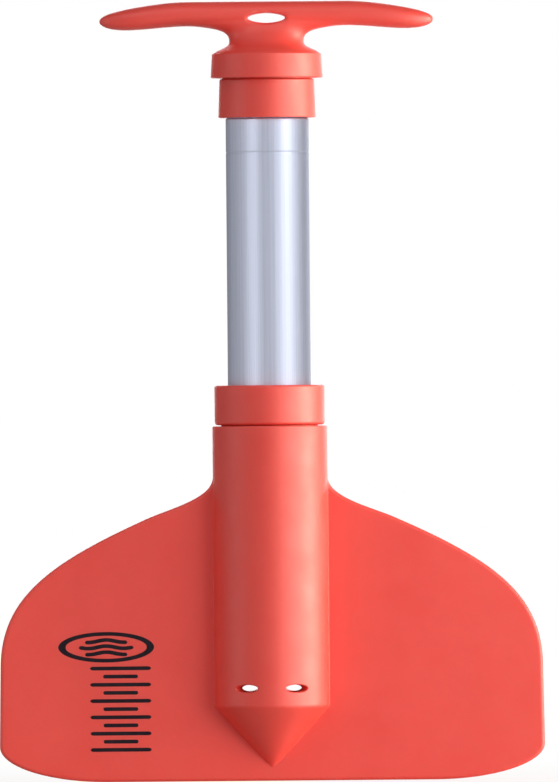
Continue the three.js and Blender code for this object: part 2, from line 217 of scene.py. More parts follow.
def turned_about_z(made, degrees):
    """The object, with its mesh turned about the shaft's axis."""
    made.data.transform(Matrix.Rotation(math.radians(degrees), 4, "Z"))
    return made


def place(made, body, slot, material, *nodes, sharp=32):
    """Shades a piece, gives it its material, hides the CAD nodes it stands for and puts it on their body."""
    made.data.shade_smooth()
    made.data.set_sharp_from_angle(angle=math.radians(sharp))
    normals = made.modifiers.new("normals", "WEIGHTED_NORMAL")
    normals.keep_sharp = True
    made.data.materials.clear()
    made.data.materials.append(material)
    if nodes:
        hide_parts(*nodes)
    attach(made, body)
    return made


# ---- skin over a field


def curve(at, knots):
    """A smooth curve through (position, value) knots, read at the given positions."""
    where, value = np.array(knots, float).T
    slope = np.gradient(value, where)
    at = np.clip(at, where[0], where[-1])
    i = np.clip(np.searchsorted(where, at) - 1, 0, len(where) - 2)
    step = where[i + 1] - where[i]
    t = (at - where[i]) / step
    return (
        (1 + 2 * t) * (1 - t) ** 2 * value[i]
        + t * (1 - t) ** 2 * step * slope[i]
        + t**2 * (3 - 2 * t) * value[i + 1]
        + t**2 * (t - 1) * step * slope[i + 1]
    )


def smooth_min(a, b, radius):
    """The smaller of two distances, with the crease between them filled to about the radius."""
    overlap = np.maximum(radius - np.abs(a - b), 0) / radius
    return np.minimum(a, b) - overlap**2 * radius / 4


def slope_of(field, points, step=0.02):
    """The field's slope along each axis at the points."""
    moves = np.eye(3) * step
    return np.stack([(field(points + m) - field(points - m)) / (2 * step) for m in moves], -1)


def onto_level(field, points, passes):
    """Moves points along the field's slope to where it is zero."""
    for _ in range(passes):
        slope = slope_of(field, points)
        size = np.maximum((slope**2).sum(-1, keepdims=True), 1e-6)
        move = field(points)[:, None] * slope / size
        length = np.linalg.norm(move, axis=-1, keepdims=True)
        points = points - move * np.minimum(1, 0.5 / np.maximum(length, 1e-9))
    return points


def skin(name, field, low, high, cell):
    """A closed mesh where a field of signed distances is zero: one point for each crossed cell."""
    axes = [np.arange(a, b + cell, cell) for a, b in zip(low, high)]
    grid = np.stack(np.meshgrid(*axes, indexing="ij"), -1)
    value = field(grid.reshape(-1, 3)).reshape(grid.shape[:3])
    inside = value < 0
    cells = tuple(n - 1 for n in inside.shape)
    total = np.zeros(cells + (3,))
    count = np.zeros(cells)
    edges = []
    for axis in range(3):
        near = [slice(None)] * 3
        far = [slice(None)] * 3
        near[axis] = slice(None, -1)
        far[axis] = slice(1, None)
        a, b = value[tuple(near)], value[tuple(far)]
        crossed = inside[tuple(near)] != inside[tuple(far)]
        t = np.where(crossed, a / np.where(crossed, a - b, 1), 0)
        where = grid[tuple(near)] + t[..., None] * cell * np.eye(3)[axis]
        edges.append(crossed)
        others = [k for k in range(3) if k != axis]
        for du in (0, 1):
            for dv in (0, 1):
                part = [slice(None)] * 3
                part[others[0]] = slice(du, du + cells[others[0]])
                part[others[1]] = slice(dv, dv + cells[others[1]])
                total += np.where(crossed[tuple(part)][..., None], where[tuple(part)], 0)
                count += crossed[tuple(part)]
    used = count > 0
    index = np.full(cells, -1)
    index[used] = np.arange(used.sum())
    points = total[used] / count[used][:, None]
    faces = []
    for axis, crossed in enumerate(edges):
        u, v = [k for k in range(3) if k != axis]
        at = np.argwhere(crossed)
        at = at[(at[:, u] > 0) & (at[:, v] > 0) & (at[:, u] < cells[u]) & (at[:, v] < cells[v])]
        corners = []
        for du, dv in ((1, 1), (0, 1), (0, 0), (1, 0)):
            shifted = at.copy()
            shifted[:, u] -= du
            shifted[:, v] -= dv
            corners.append(index[tuple(shifted.T)])
        faces.append(np.stack(corners, -1))
    faces = np.concatenate(faces)
    points = onto_level(field, points, 3)
    for _ in range(3):
        points = onto_level(field, relaxed(points, faces), 2)
    return add_object(name, points, faces.tolist(), merge=0.001)


def relaxed(points, faces):
    """Points moved half way to the mean of their neighbours."""
    total = np.zeros_like(points)
    count = np.zeros(len(points))
    for k in range(4):
        a, b = faces[:, k], faces[:, (k + 1) % 4]
        np.add.at(total, a, points[b])
        np.add.at(total, b, points[a])
        np.add.at(count, a, 1)
        np.add.at(count, b, 1)
    return (points + total / count[:, None]) / 2


# ---- material helpers


class Graph:
    """The node tree of a material or a world, with short calls for the nodes used here."""

    def __init__(self, name, owners=bpy.data.materials):
        self.owner = owners.new(name)
        self.owner.use_nodes = True
        self.tree = self.owner.node_tree
        self.shader = self.tree.nodes.get("Principled BSDF")
        self.place = self.node("ShaderNodeTexCoord").outputs["Object"]

    def node(self, kind, settings=None, **inputs):
        made = self.tree.nodes.new(kind)
        for key, value in (settings or {}).items():
            setattr(made, key, value)
        for key, value in inputs.items():
            numbered = key[0] == "i" and key[1:].isdigit()
            self.join(value, made.inputs[int(key[1:]) if numbered else key])
        return made

    def join(self, value, socket):
        if isinstance(value, bpy.types.NodeSocket):
            self.tree.links.new(value, socket)
        else:
            socket.default_value = value

    def set(self, **inputs):
        for key, value in inputs.items():
            self.join(value, self.shader.inputs[key.replace("_", " ")])

    def math(self, operation, a, b=0.0, clamp=False):
        settings = {"operation": operation, "use_clamp": clamp}
        return self.node("ShaderNodeMath", settings, i0=a, i1=b).outputs[0]

    def mix(self, factor, a, b, blend="MIX"):
        made = self.node("ShaderNodeMix", {"data_type": "RGBA", "blend_type": blend})
        for key, value in ((0, factor), (6, a), (7, b)):
            self.join(value, made.inputs[key])
        return made.outputs[2]

    def stretched(self, x, y, z):
        """The object's own coordinates, in metres, times a factor for each axis."""
        return self.node("ShaderNodeMapping", Vector=self.place, Scale=(x, y, z)).outputs[0]

    def noise(self, scale, detail=3.0, roughness=0.55, vector=None, distortion=0.0):
        inputs = {"Scale": scale, "Detail": detail, "Roughness": roughness, "Distortion": distortion}
        return self.node("ShaderNodeTexNoise", Vector=vector or self.place, **inputs).outputs["Fac"]

    def spread(self, value, low, high, out_low=0.0, out_high=1.0):
        """Value read between low and high, as a clamped smooth step to the two outputs."""
        made = self.node("ShaderNodeMapRange", {"interpolation_type": "SMOOTHSTEP"}, Value=value)
        for key, number in zip(("From Min", "From Max", "To Min", "To Max"), (low, high, out_low, out_high)):
            self.join(number, made.inputs[key])
        return made.outputs[0]

    def bump(self, height, strength, distance, normal=None):
        inputs = {"Height": height, "Strength": strength, "Distance": distance}
        if normal is not None:
            inputs["Normal"] = normal
        return self.node("ShaderNodeBump", **inputs).outputs[0]

    def edges(self, low=0.515, high=0.56):
        """1 on outer edges and corners, 0 elsewhere."""
        return self.spread(self.node("ShaderNodeNewGeometry").outputs["Pointiness"], low, high)


def shade(red, green, blue):
    """A screen colour, 0 to 255, as the linear colour a shader takes."""
    screen = [c / 255 for c in (red, green, blue)]
    linear = [c / 12.92 if c <= 0.04 else ((c + 0.055) / 1.055) ** 2.4 for c in screen]
    return (*linear, 1)


def scaled(colour, factor, added=0.0):
    """A colour times a factor, with some white added."""
    return (*(min(1.0, factor * c + added) for c in colour[:3]), 1)


# ---- materials


def moulded_plastic(name, base, deep, roughness=0.5, glow=0.35):
    """Moulded plastic that lets some light through: spark-eroded grain, flow marks, paler rubbed edges."""
    g = Graph(name)
    flow = g.noise(9.0, 2.0, vector=g.stretched(1.0, 1.0, 0.35), distortion=0.6)
    cloud = g.noise(38.0, 3.0)
    colour = g.mix(g.spread(flow, 0.3, 0.7), deep, base)
    colour = g.mix(g.spread(cloud, 0.35, 0.75, 0.0, 0.12), colour, scaled(base, 0.86))
    worn = g.math("MULTIPLY", g.edges(), g.spread(g.noise(260.0, 3.0), 0.42, 0.62))
    colour = g.mix(g.math("MULTIPLY", worn, 0.35), colour, scaled(base, 0.72, 0.24))
    grain = g.noise(3200.0, 2.0, 0.6)
    ripple = g.noise(210.0, 2.0)
    polish = g.spread(g.noise(55.0, 4.0, 0.65), 0.3, 0.7, roughness - 0.05, roughness + 0.06)
    polish = g.math("ADD", polish, g.math("MULTIPLY", grain, 0.05))
    normal = g.bump(ripple, 0.25, 0.00006)
    normal = g.bump(grain, 0.3, 0.00003, normal)
    g.set(Base_Color=colour, Roughness=polish, Normal=normal, IOR=1.62, Specular_IOR_Level=1.0)
    g.set(Subsurface_Weight=glow, Subsurface_Radius=(1.0, 0.12, 0.09), Subsurface_Scale=0.007)
    return g.owner


def drawn_aluminium(name, base, roughness):
    """Drawn and clear-anodised tube: fine lines along the shaft, and faint patches of haze."""
    g = Graph(name)
    lines = g.noise(1.0, 4.0, 0.7, vector=g.stretched(1500.0, 1500.0, 6.0))
    broad = g.noise(1.0, 2.0, 0.5, vector=g.stretched(130.0, 130.0, 3.0))
    haze = g.noise(30.0, 4.0, 0.6)
    colour = g.mix(g.spread(lines, 0.35, 0.65), scaled(base, 0.9), base)
    colour = g.mix(g.spread(haze, 0.45, 0.75, 0.0, 0.18), colour, scaled(base, 0.94))
    polish = g.spread(broad, 0.3, 0.7, roughness - 0.03, roughness + 0.04)
    polish = g.math("ADD", polish, g.math("MULTIPLY", lines, 0.07))
    normal = g.bump(lines, 0.12, 0.00002)
    g.set(Base_Color=colour, Metallic=1.0, Roughness=polish, Normal=normal)
    return g.owner


def machined_steel(name, base, roughness):
    """Stainless fasteners: fine turning marks and small handling scratches."""
    g = Graph(name)
    lines = g.noise(900.0, 3.0, 0.7, vector=g.stretched(1.0, 1.0, 7.0))
    scratches = g.spread(g.noise(1.0, 2.0, 0.5, vector=g.stretched(2200.0, 260.0, 700.0)), 0.62, 0.7)
    colour = g.mix(g.spread(lines, 0.3, 0.7), scaled(base, 0.84), base)
    polish = g.spread(lines, 0.3, 0.7, roughness - 0.05, roughness + 0.08)
    polish = g.math("ADD", polish, g.math("MULTIPLY", scratches, 0.15))
    g.set(Base_Color=colour, Metallic=1.0, Roughness=polish, Normal=g.bump(lines, 0.2, 0.00002))
    return g.owner


def black_rubber(name):
    """Wiper rubber: matte, with a fine moulded texture and dusty high spots."""
    g = Graph(name)
    grain = g.noise(1800.0, 3.0, 0.7)
    dust = g.spread(g.noise(120.0, 4.0, 0.65), 0.5, 0.8, 0.0, 0.35)
    colour = g.mix(dust, shade(24, 24, 26), shade(58, 57, 58))
    g.set(Base_Color=colour, Roughness=g.spread(grain, 0.3, 0.7, 0.68, 0.9))
    g.set(Normal=g.bump(grain, 0.35, 0.00006))
    return g.owner


def closed_cell_foam(name):
    """Polyethylene foam: small closed cells under a skin that yellows in patches."""
    g = Graph(name)
    cells = g.node("ShaderNodeTexVoronoi", Vector=g.place, Scale=950.0).outputs["Distance"]
    patches = g.spread(g.noise(45.0, 3.0), 0.4, 0.75, 0.0, 0.4)
    colour = g.mix(patches, shade(243, 241, 234), shade(228, 218, 190))
    colour = g.mix(g.spread(cells, 0.3, 0.75, 0.0, 0.22), colour, shade(176, 170, 152))
    g.set(Base_Color=colour, Roughness=0.85, Normal=g.bump(cells, 0.6, 0.0003), Subsurface_Weight=0.1)
    g.set(Subsurface_Radius=(0.002, 0.002, 0.0018))
    return g.owner


def printed_ink(name):
    """Pad-printed ink: slightly uneven cover with a soft gloss."""
    g = Graph(name)
    cover = g.spread(g.noise(700.0, 4.0, 0.7), 0.3, 0.62)
    colour = g.mix(cover, shade(20, 4, 30), shade(8, 1, 20))
    g.set(Base_Color=colour, Roughness=g.spread(g.noise(240.0, 3.0), 0.3, 0.7, 0.34, 0.5))
    g.set(Normal=g.bump(g.noise(2600.0, 2.0), 0.2, 0.00002))
    return g.owner


ORANGE = moulded_plastic("moulded_orange", shade(245, 65, 49), shade(240, 60, 45))
NYLON = moulded_plastic("natural_nylon", shade(232, 228, 214), shade(222, 216, 198), 0.5, 0.15)
GREY_NYLON = moulded_plastic("grey_nylon", shade(86, 89, 94), shade(74, 77, 82), 0.48, 0.0)
ALUMINIUM = drawn_aluminium("anodised_aluminium", shade(226, 232, 251), 0.5)
POLISHED = drawn_aluminium("bright_aluminium", shade(220, 222, 230), 0.3)
STEEL = machined_steel("stainless_steel", shade(196, 197, 200), 0.3)
RUBBER = black_rubber("wiper_rubber")
FOAM = closed_cell_foam("closed_cell_foam")
INK = printed_ink("navy_ink")


# ---- blade and socket

PLATE = 1.6  # half of the plate's thickness
RIM = 1.5  # how far in from the outline the plate's edge is rounded
SOCKET_R = BLADE.back
SOCKET = Sizes(bore=22.0, counterbore=22.4, step=148.0, cone_base=34.3, cone_tip=5.0, edge=0.6)
FILLET = 0.35  # between the plate and the socket
FACE = 26  # points round a quarter of the socket, in front of the plate
HOLLOW = Sizes(tip=15.95, tip_r=5.0, base=34.8)
CORNER = Sizes(width=50.0, height=16.5)
SHOULDER = ((124.6, 52.3), (124.6, 84.9), (101.8, 100.8), (57.5, 120.5))
NECK = ((57.5, 120.5), (47.2, 125.2), (SOCKET_R, 129.8), (SOCKET_R, 139.7))
DRAIN = Sizes(z=42.7, half_width=5.6, half_height=1.75, angle=26.3)


def bezier(points, count):
    """Points along a cubic curve given by its four control points."""
    t = np.linspace(0, 1, count)[:, None]
    a, b, c, d = np.array(points, float)
    return a * (1 - t) ** 3 + 3 * b * t * (1 - t) ** 2 + 3 * c * t**2 * (1 - t) + d * t**3


def blade_outline(count=400):
    """Half of the outline as (x, z) points, from the middle of the bottom edge up to the socket."""
    turn = np.linspace(-math.pi / 2, 0, count)
    flat_end = BLADE.r - CORNER.width
    corner = np.stack([flat_end + CORNER.width * np.cos(turn), CORNER.height * (1 + np.sin(turn))], -1)
    bottom = np.stack([np.linspace(0, flat_end, count), np.zeros(count)], -1)
    side = np.linspace(corner[-1], SHOULDER[0], count // 4)
    rest = (corner, side, bezier(SHOULDER, count), bezier(NECK, count))
    return np.concatenate([bottom, *(stretch[1:] for stretch in rest)])


OUTLINE = blade_outline()


def half_width(z):
    """The plate's half width at a height, from the corner up."""
    rising = OUTLINE[len(OUTLINE) - np.argmax(OUTLINE[::-1, 1] <= 0) :]
    return np.interp(z, rising[:, 1], rising[:, 0])


def outline_distance(x, z):
    """How far points of the plate are from its outline."""
    tree = kdtree.KDTree(len(OUTLINE))
    for i, (px, pz) in enumerate(OUTLINE):
        tree.insert((px, 0, pz), i)
    tree.balance()
    found = np.empty(len(x))
    for k, (px, pz) in enumerate(zip(np.abs(x), z)):
        _, i, _ = tree.find((px, 0, pz))
        ends = OUTLINE[max(i - 1, 0)], OUTLINE[i], OUTLINE[min(i + 1, len(OUTLINE) - 1)]
        best = 1e9
        for a, b in zip(ends, ends[1:]):
            along = b - a
            reached = (px - a[0]) * along[0] + (pz - a[1]) * along[1]
            t = np.clip(reached / max(along @ along, 1e-12), 0, 1)
            best = min(best, math.hypot(px - a[0] - t * along[0], pz - a[1] - t * along[1]))
        found[k] = best
    return found


def socket_radius(z):
    """The socket's outer radius at a height: a cylinder that ends in a cone, with a softened shoulder."""
    cone = (z - SOCKET.cone_tip) * SOCKET_R / (SOCKET.cone_base - SOCKET.cone_tip)
    return smooth_min(SOCKET_R, cone, 0.8)


def blade_rows():
    """Heights of the mesh's rows up the outside, close together wherever the shape turns."""
    turn = np.linspace(0, math.pi / 2, 8)
    foot = RIM * (1 - np.cos(turn))
    corner = np.linspace(RIM, CORNER.height, 16)
    cone = np.arange(CORNER.height + 1, SOCKET.cone_base - 1.4, 1.2)
    shoulder = np.linspace(SOCKET.cone_base - 1.4, SOCKET.cone_base + 1.4, 8)
    side = np.arange(SOCKET.cone_base + 2.4, SHOULDER[0][1] + 20, 1.5)
    top = np.arange(side[-1] + 1.2, NECK[3][1] - 8, 1.2)
    neck = np.linspace(top[-1] + 0.8, NECK[3][1], 12)
    return np.concatenate([foot, corner[1:], cone, shoulder, side, top, neck])


def blade_columns(z, width):
    """Half a row of the outside as (x, height) points, from the middle to the rim."""
    r = max(float(socket_radius(z)), 0.0)
    fillet = min(FILLET, 0.5 * (width - SOCKET_R)) if z > SHOULDER[3][1] else FILLET
    reach = math.sqrt(max((r + fillet) ** 2 - (PLATE + fillet) ** 2, 0)) if r > PLATE else 0
    turn = math.asin(min(1, reach / (r + fillet))) if reach else 0
    on_socket = [(r * math.sin(t), r * math.cos(t)) for t in np.linspace(0, turn, FACE)]
    on_fillet = []
    for t in np.linspace(turn, 0, 9)[1:]:
        on_fillet.append((reach - fillet * math.sin(t), PLATE + fillet - fillet * math.cos(t)))
    if reach < 1:
        on_socket = [(x, PLATE) for x in np.linspace(0, 0.6, FACE)]
        on_fillet = [(x, PLATE) for x in np.linspace(0.6, 1.0, 9)[1:]]
        reach = 1.0
    rest = width - reach
    near = min(rest * 0.5, 4.0)
    flat = [(reach + rest_x, PLATE) for rest_x in np.linspace(0, rest - near, 17)[1:]]
    rim = [(width - near * (1 - math.sin(t)), PLATE) for t in np.linspace(0, math.pi / 2, 13)[1:]]
    return on_socket + on_fillet + flat + rim


def full_ring(half):
    """A closed ring from (x, height) points of its front right quarter, at heights taken as depth."""
    x, depth = np.array(half).T
    right = np.stack([x, -depth], -1)
    left = np.stack([-x[1:], -depth[1:]], -1)[::-1]
    front = np.concatenate([left, right])
    back = front[::-1] * (1, -1)
    return np.concatenate([front, back])


def circle_quarter(r, count):
    """A quarter circle with the same number of points as half a row, crowded at the side."""
    turn = np.concatenate([np.linspace(0, 1.49, FACE), np.linspace(1.49, math.pi / 2, count - FACE + 1)[1:]])
    return [(r * math.sin(t), r * math.cos(t)) for t in turn]


def blade_mesh():
    """The whole moulding in one skin: up the plate and the socket's outside, then down its bore."""
    rings, heights = [], []
    for z in blade_rows():
        rings.append(full_ring(blade_columns(z, float(half_width(max(z, 0))))))
        heights.append(z)
    count = (len(rings[0]) + 2) // 4
    edge = SOCKET.edge
    mouth = BLADE.top
    inner = [
        (SOCKET_R, NECK[3][1] + 6), (SOCKET_R, mouth - 8), (SOCKET_R, mouth, edge),
        (SOCKET.counterbore, mouth, edge / 2), (SOCKET.counterbore, SOCKET.step),
        (SOCKET.bore, SOCKET.step), (SOCKET.bore, HOLLOW.base + 30), (SOCKET.bore, HOLLOW.base, 2),
        (HOLLOW.tip_r, HOLLOW.tip, 1), (0, HOLLOW.tip),
    ]
    for r, z in rounded(inner):
        rings.append(full_ring(circle_quarter(max(r, 1e-4), count)))
        heights.append(z)
    columns = len(rings[0])
    flat = np.array([(x, y, z) for ring, z in zip(rings, heights) for x, y in ring])
    outside = np.repeat(np.arange(len(rings)) < len(blade_rows()), columns)
    distance = outline_distance(flat[outside, 0], flat[outside, 2])
    limit = PLATE * np.sqrt(np.clip(1 - (1 - np.minimum(distance, RIM) / RIM) ** 2, 0, 1))
    depth = np.abs(flat[outside, 1])
    proud = np.maximum(depth - PLATE, 0)
    flat[outside, 1] = np.sign(flat[outside, 1]) * (limit * np.minimum(depth / PLATE, 1) + proud)
    return add_object("paddle_blade", flat, grid_faces(len(rings), columns), merge=0.01)


def drain_cutter(name, angle):
    """An oval cutter through the socket's wall whose ends flare, so that the slot's edges are rounded."""
    levels = [(SOCKET_R + 1.5, 1.2), (SOCKET_R + 0.15, 0.62), (SOCKET_R - 0.12, 0.28), (SOCKET_R - 0.5, 0.0)]
    levels += [(SOCKET.bore + 0.4, 0.0), (SOCKET.bore - 3, 0.0)]
    turn = np.arange(64) * 2 * math.pi / 64
    rings = []
    for r, grow in levels:
        around = math.radians(angle) + (DRAIN.half_width + grow) * np.cos(turn) / SOCKET_R
        z = DRAIN.z + (DRAIN.half_height + grow) * np.sin(turn)
        rings.append(np.stack([r * np.sin(around), -r * np.cos(around), z], -1))
    return loft(name, rings)


def build_blade():
    """The blade with its socket, and two drain slots in front and two behind."""
    made = blade_mesh()
    angles = [side + turn for side in (0, 180) for turn in (-DRAIN.angle, DRAIN.angle)]
    combine(made, [drain_cutter(f"drain_{i}", angle) for i, angle in enumerate(angles)])
    place(made, "blade", "orange_plastic", ORANGE, "blade")


def build_tip_float():
    """Foam in the socket's closed end."""
    s = span("tip_float")
    base = HOLLOW.base + 0.3
    corners = [(0, s.bottom), (HOLLOW.tip_r, s.bottom, 1), (s.r, base, 2), (s.r, s.top, 1.2), (0, s.top)]
    place(lathe("tip_foam", corners), "blade", "foam", FOAM, "tip_float")


# ---- printed mark

PEN = (1.7, 0.85)  # half of the stroke's width where it runs up, and where it runs across
INK_DEPTH = 0.03  # how far the ink stands out of the plate, and reaches into it
RING = Sizes(x=-76.0, z=62.0, half_width=22.0, half_height=7.0)
RIPPLES = Sizes(half_width=12.5, apart=2.8, height=0.55, length=2.6)
LADDER = Sizes(x=-69.5, low=14.85, high=52.25, bars=11, long=14.0, short=8.0)


def stroke(points, closed=False):
    """Rings across a flat ribbon that follows (x, z) points on the front of the plate."""
    points = np.array(points, float)
    if closed:
        along = np.roll(points, -1, 0) - np.roll(points, 1, 0)
    else:
        along = np.gradient(points, axis=0)
    along /= np.linalg.norm(along, axis=1)[:, None]
    side = np.stack([-along[:, 1], along[:, 0]], -1) * PEN
    if not closed:
        ends = np.minimum(np.arange(len(points)), np.arange(len(points))[::-1])
        side *= np.sqrt(np.clip(1 - (1 - np.minimum(ends / 3, 1)) ** 2, 0.02, 1))[:, None]
    front, back = -PLATE - INK_DEPTH, -PLATE + INK_DEPTH
    left, right = points + side, points - side
    corners = ((left, front), (right, front), (right, back), (left, back))
    edges = [np.stack([edge[:, 0], np.full(len(edge), y), edge[:, 1]], -1) for edge, y in corners]
    return np.stack(edges, 1)


def build_mark():
    """A generic mark on the front of the blade: ripples in a ring, over a ladder of long and short bars."""
    turn = np.linspace(0, 2 * math.pi, 97)[:-1]
    across = RING.x + (RING.half_width - PEN[0]) * np.cos(turn)
    up = RING.z + (RING.half_height - PEN[1]) * np.sin(turn)
    strokes = [(stroke(np.stack([across, up], -1), closed=True), True)]

    def line(x, z, half, ripple=0.0):
        along = np.linspace(-half, half, 61)
        heights = z + ripple * np.cos(along / RIPPLES.length)
        strokes.append((stroke(np.stack([x + along, heights], -1)), False))

    for level in (-RIPPLES.apart, 0, RIPPLES.apart):
        line(RING.x, RING.z + level, RIPPLES.half_width - abs(level), RIPPLES.height)
    for i in range(LADDER.bars):
        z = LADDER.low + i * (LADDER.high - LADDER.low) / (LADDER.bars - 1)
        line(LADDER.x, z, LADDER.short if i % 2 else LADDER.long)
    points, faces = [], []
    for rings, closed in strokes:
        start, rows = len(points), len(rings)
        points += list(rings.reshape(-1, 3))
        faces += [tuple(start + k for k in face) for face in grid_faces(rows, 4, closed)]
        if not closed:
            faces.append((start + 3, start + 2, start + 1, start))
            faces.append(tuple(start + (rows - 1) * 4 + k for k in range(4)))
    place(add_object("blade_mark", points, faces, merge=0.0005), "blade", "orange_plastic", INK)


# ---- collars, wipers and bushes

LIP_PLAY = 0.12
BUSH_PLAY = 0.15
BUSH_WALL = 1.9  # of the lower bush's sleeve
DUST_RIM = Sizes(outside=20.6, inside=19.6, rise=1.2)
SLIT = Sizes(size=(1.2, 8, 14), count=4, first=45)


def build_socket_collar():
    """The ring at the socket's mouth, with a groove for its wiper and a pocket for its bush."""
    s = COLLAR
    room = 0.2
    seat = BLADE.top + 0.5
    lip, groove, pocket = OUTER.r + 0.35, OUTER.r + 2.15, OUTER.r + 2.25
    wiper = span("socket_wiper")
    bush = span("lower_bush")
    spigot = SOCKET.counterbore - 0.1
    section = [
        (spigot, s.bottom, 0.3), (spigot, seat, 0.2), (s.r, seat, 1.5), (s.r, s.top, 1.1),
        (lip, s.top, 0.5), (lip, wiper.top + room, 0.2), (groove, wiper.top + room),
        (groove, wiper.bottom - room), (lip, wiper.bottom - room, 0.2), (lip, bush.top + room, 0.2),
        (pocket, bush.top + room), (pocket, s.bottom, 0.3),
    ]
    made = lathe("socket_collar_shell", section, closed=True)
    place(made, "blade", "orange_plastic", ORANGE, "socket_collar")


def build_wiper(name, node, body, bore):
    """A rubber ring with two lips that touch the tube."""
    s = span(node)
    height = s.top - s.bottom
    section = [
        (s.r, s.bottom, 0.3), (s.r, s.top, 0.3), (bore + 0.7, s.top, 0.2),
        (bore, s.top - 0.35 * height, 0.25), (bore + 0.5, s.top - 0.5 * height, 0.1),
        (bore, s.bottom + 0.35 * height, 0.25), (bore + 0.7, s.bottom, 0.2),
    ]
    place(lathe(name, section, closed=True), body, "rubber", RUBBER, node)


def build_bush(name, node, tube_r, sleeve, seat, thick):
    """A nylon slide bush: a flange above its seat, and a slit sleeve that can grip the tube."""
    s = span(node)
    bore = tube_r + BUSH_PLAY
    flange_low, flange_high = seat + 0.1, seat + thick
    flange = [(s.r, flange_low, 0.25), (s.r, flange_high, 0.25)]
    inside = [(bore, s.top, 0.4), (bore, s.bottom, 0.4)]
    if flange_low > s.bottom + 1:
        corners = [(sleeve, s.bottom, 0.4), (sleeve, flange_low), *flange, *inside]
        slit_z = (s.bottom + s.top) / 2
    else:
        corners = [*flange, (sleeve, flange_high), (sleeve, s.top, 0.4), *inside]
        slit_z = (flange_high + s.top) / 2 + 2
    slits = []
    for i in range(SLIT.count):
        slit = box(f"{name}_slit_{i}", (0, -(bore + sleeve) / 2, slit_z), SLIT.size)
        slits.append(turned_about_z(slit, SLIT.first + 360 / SLIT.count * i))
    place(combine(lathe(name, corners, closed=True), slits), node, "nylon", NYLON, node)


def build_tube_collar():
    """The collar on the outer tube's top, with a low rim that shades the gap under the grip's skirt."""
    s = CAP
    wiper = span("tube_wiper")
    bush = span("upper_bush")
    seat, lip, groove = OUTER.r + 0.15, INNER.r + 0.25, INNER.r + 1.9
    shoulder = s.top - DUST_RIM.rise
    section = [
        (s.r, s.bottom, 0.45), (s.r - 0.65, shoulder, 0.8), (DUST_RIM.outside, shoulder, 0.15),
        (DUST_RIM.outside, s.top, 0.35), (DUST_RIM.inside, s.top, 0.35),
        (DUST_RIM.inside, shoulder, 0.2), (lip, shoulder, 0.35), (lip, wiper.top + 0.15),
        (groove, wiper.top + 0.15), (groove, wiper.bottom - 0.15), (lip, wiper.bottom - 0.15),
        (lip, bush.top + 0.2), (seat, bush.top + 0.2), (seat, s.bottom, 0.35),
    ]
    made = lathe("shaft_collar_shell", section, closed=True)
    place(made, "outer_shaft", "orange_plastic", ORANGE, "tube_collar")


# ---- tubes

PIN_PLAY = 0.1
GRIP_BOLT = Sizes(shank=2.1, head=2.3, head_way=4.2, point=1.4, slot=(4.0, 0.9, 2.2))

TUBE_WALL = 1.5
CRIMP = Sizes(z=288.5, half=0.8, depth=0.14)
NECKED = Sizes(gap=0.15, above=0.6, depth=1.1, round=0.9)  # where the tube enters its collar


def build_outer_tube():
    """The satin tube, with a faint crimped ring below its top."""
    s = OUTER
    bore = s.r - TUBE_WALL
    z, half, depth = CRIMP.z, CRIMP.half, CRIMP.depth
    section = [
        (s.r, s.bottom, 0.3), (s.r, z - half, 0.5), (s.r - depth, z, 0.4), (s.r, z + half, 0.5),
        (s.r, CAP.bottom - NECKED.gap, NECKED.round),
        (s.r - NECKED.depth, CAP.bottom - NECKED.gap, 0.1),
        (s.r - NECKED.depth, CAP.bottom + NECKED.above), (s.r, CAP.bottom + NECKED.above),
        (s.r, s.top, 0.3), (bore, s.top, 0.3), (bore, z + half, 0.5), (bore - depth, z, 0.4),
        (bore, z - half, 0.5), (bore, s.bottom, 0.3),
    ]
    made = lathe("outer_tube_shell", section, closed=True)
    pin = pin_place("outer_plug_pin")
    combine(made, [bar_along_y("pin_way", -s.r - 2, s.r + 2, pin.z, pin.r + PIN_PLAY)])
    place(made, "outer_shaft", "tube_aluminium", ALUMINIUM, "outer_tube")


def build_inner_tube():
    """The brighter tube that slides in the outer one."""
    s = INNER
    bore = s.r - TUBE_WALL
    section = [(s.r, s.bottom, 0.3), (s.r, s.top, 0.3), (bore, s.top, 0.3), (bore, s.bottom, 0.3)]
    made = lathe("inner_tube_shell", section, closed=True)
    pin, screw = pin_place("inner_plug_pin"), pin_place("grip_screw")
    cuts = [
        bar_along_y("pin_way", -s.r - 2, s.r + 2, pin.z, pin.r + PIN_PLAY),
        bar_along_y("screw_way", 2, s.r + 2, screw.z, GRIP_BOLT.shank + 0.1),
    ]
    place(combine(made, cuts), "inner_shaft", "inner_aluminium", POLISHED, "inner_tube")


def build_shaft_float():
    """Foam inside the inner tube."""
    s = span("shaft_float")
    corners = [(0, s.bottom), (s.r, s.bottom, 1), (s.r, s.top, 1), (0, s.top)]
    place(lathe("shaft_foam", corners), "inner_shaft", "foam", FOAM, "shaft_float")


# ---- twist locks

STUB = {"outer": 7.0, "inner": 6.0}  # radius of the eccentric stub that carries each ring
LOCK_BOLT = Sizes(shank=2.15, head=2.3, play=0.2, slot=(4.4, 0.9, 2.2))
PLUG = Sizes(gap=0.1, flange=2.4, wall=3.2, web=5.0)


def cross_recess(x, y, z, slot, along_y=False):
    """Two crossed slots for a driver, cut into a screw's head."""
    length, width, depth = slot
    sizes = [(length, width, depth), (width, length, depth)]
    if along_y:
        sizes = [(length, depth, width), (width, depth, length)]
    return [box(f"arm_{i}", (x, y, z), size) for i, size in enumerate(sizes)]


def pin_place(node):
    """Height, radius and ends of a pin or screw that lies along Y."""
    low, high = (np.array(corner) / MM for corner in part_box(node))
    return Sizes(z=(low[2] + high[2]) / 2, r=(high[0] - low[0]) / 2, y0=low[1], y1=high[1])


